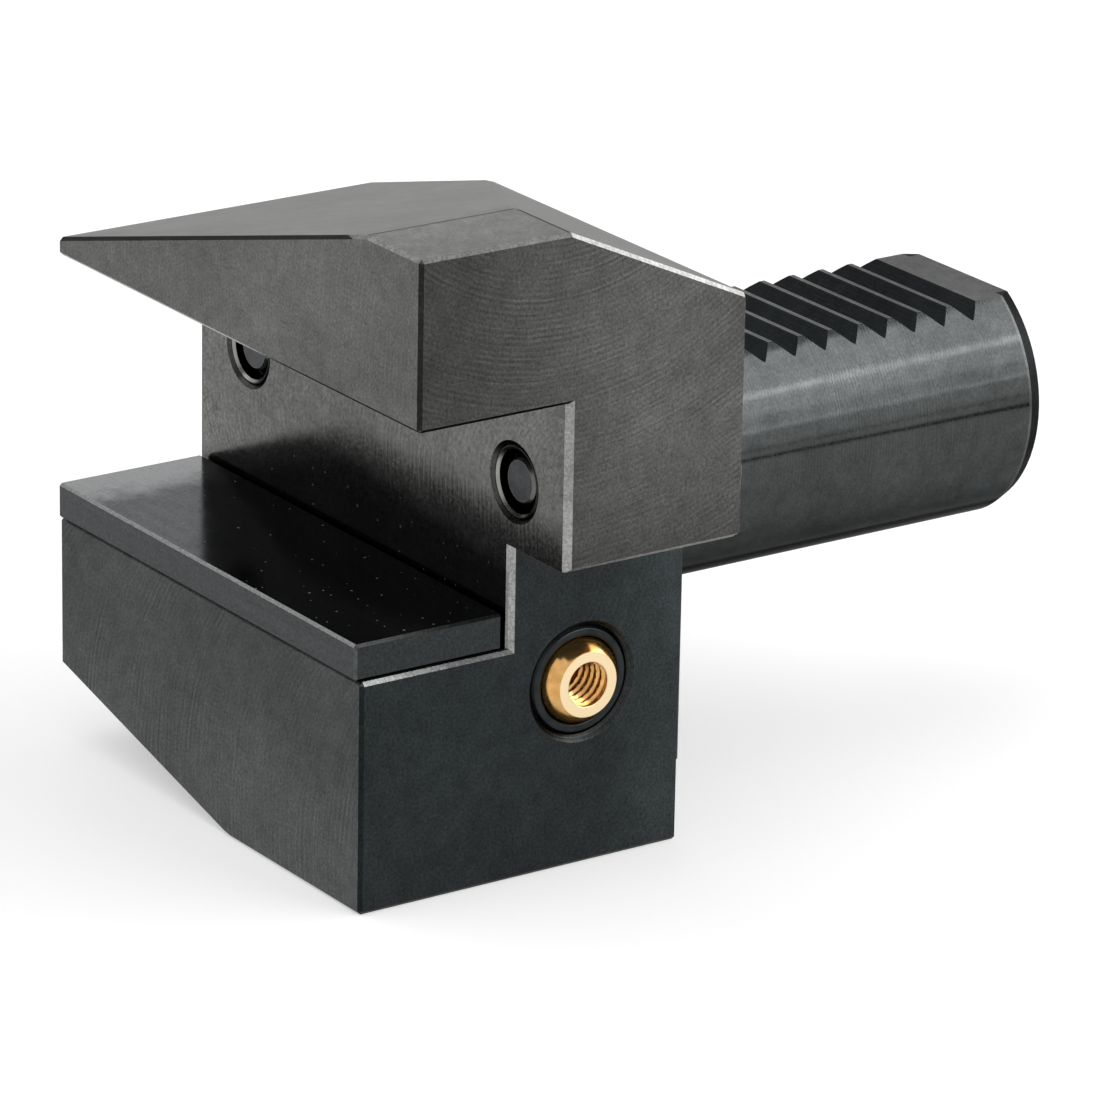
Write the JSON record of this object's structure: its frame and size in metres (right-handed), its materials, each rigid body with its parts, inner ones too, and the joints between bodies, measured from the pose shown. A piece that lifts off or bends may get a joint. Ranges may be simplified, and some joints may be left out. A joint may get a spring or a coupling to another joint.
{
  "type": "radial tool holder",
  "caption": "Radial square-shank tool holder for a lathe turret: serrated cylindrical shank, open tool slot, screw-driven clamp plate and swivelling ball coolant nozzle.",
  "frame": {"origin": "where the shank axis meets the contact face", "axes": "+X along the tool slot towards the overhanging side, +Y along the shank towards the turret, +Z from the clamp plate up to the tool seat"},
  "size_m": [0.07, 0.0954, 0.073],
  "materials": {
    "body_steel": "blackened, milled and ground",
    "plate_steel": "blackened, ground",
    "screw_steel": "black oxide",
    "plug_steel": "turned, blackened",
    "ring_steel": "black oxide",
    "brass": "turned and polished",
    "rubber": "moulded"
  },
  "bodies": {
    "holder": {"body": "body_steel", "plug_sleeve_right": "plug_steel", "plug_sleeve_left": "plug_steel", "plug_sleeve_cross": "plug_steel", "plug_sleeve_riser": "plug_steel", "plug_core_right": "plug_steel", "plug_core_left": "plug_steel", "plug_core_cross": "plug_steel", "plug_core_riser": "plug_steel", "inlet_screw": "screw_steel", "inlet_seal": "rubber", "shank_seal": "rubber", "nozzle_ring": "ring_steel", "nozzle_seal": "rubber"},
    "clamp_plate": {"clamp_plate": "plate_steel"},
    "clamp_screw_1": {"clamp_screw_1": "screw_steel"},
    "clamp_screw_2": {"clamp_screw_2": "screw_steel"},
    "clamp_screw_3": {"clamp_screw_3": "screw_steel"},
    "nozzle_ball": {"nozzle_ball": "brass"}
  },
  "joints": [
    {"name": "clamp_screw_2_feed", "type": "slide", "parent": "holder", "child": "clamp_screw_2", "axis": [0, 0, 1], "range_m": [0, 0.0055]},
    {"name": "clamp_screw_1_feed", "type": "slide", "parent": "holder", "child": "clamp_screw_1", "axis": [0, 0, 1], "range_m": [0, 0.0055]},
    {"name": "clamp_screw_3_feed", "type": "slide", "parent": "holder", "child": "clamp_screw_3", "axis": [0, 0, 1], "range_m": [0, 0.0055]},
    {"name": "clamp_plate_lift", "type": "slide", "parent": "holder", "child": "clamp_plate", "axis": [0, 0, 1], "range_m": [0, 0.0055]},
    {"name": "nozzle_swivel", "type": "hinge", "parent": "holder", "child": "nozzle_ball", "pos_m": [0.0226, -0.0127, -0.0147], "axis": [0, -1, 0], "range_deg": [-15, 15]}
  ],
  "couplings": [
    {"joint": "clamp_screw_1_feed", "follows": "clamp_screw_2_feed", "ratio": 1},
    {"joint": "clamp_screw_3_feed", "follows": "clamp_screw_2_feed", "ratio": 1},
    {"joint": "clamp_plate_lift", "follows": "clamp_screw_2_feed", "ratio": 1}
  ]
}
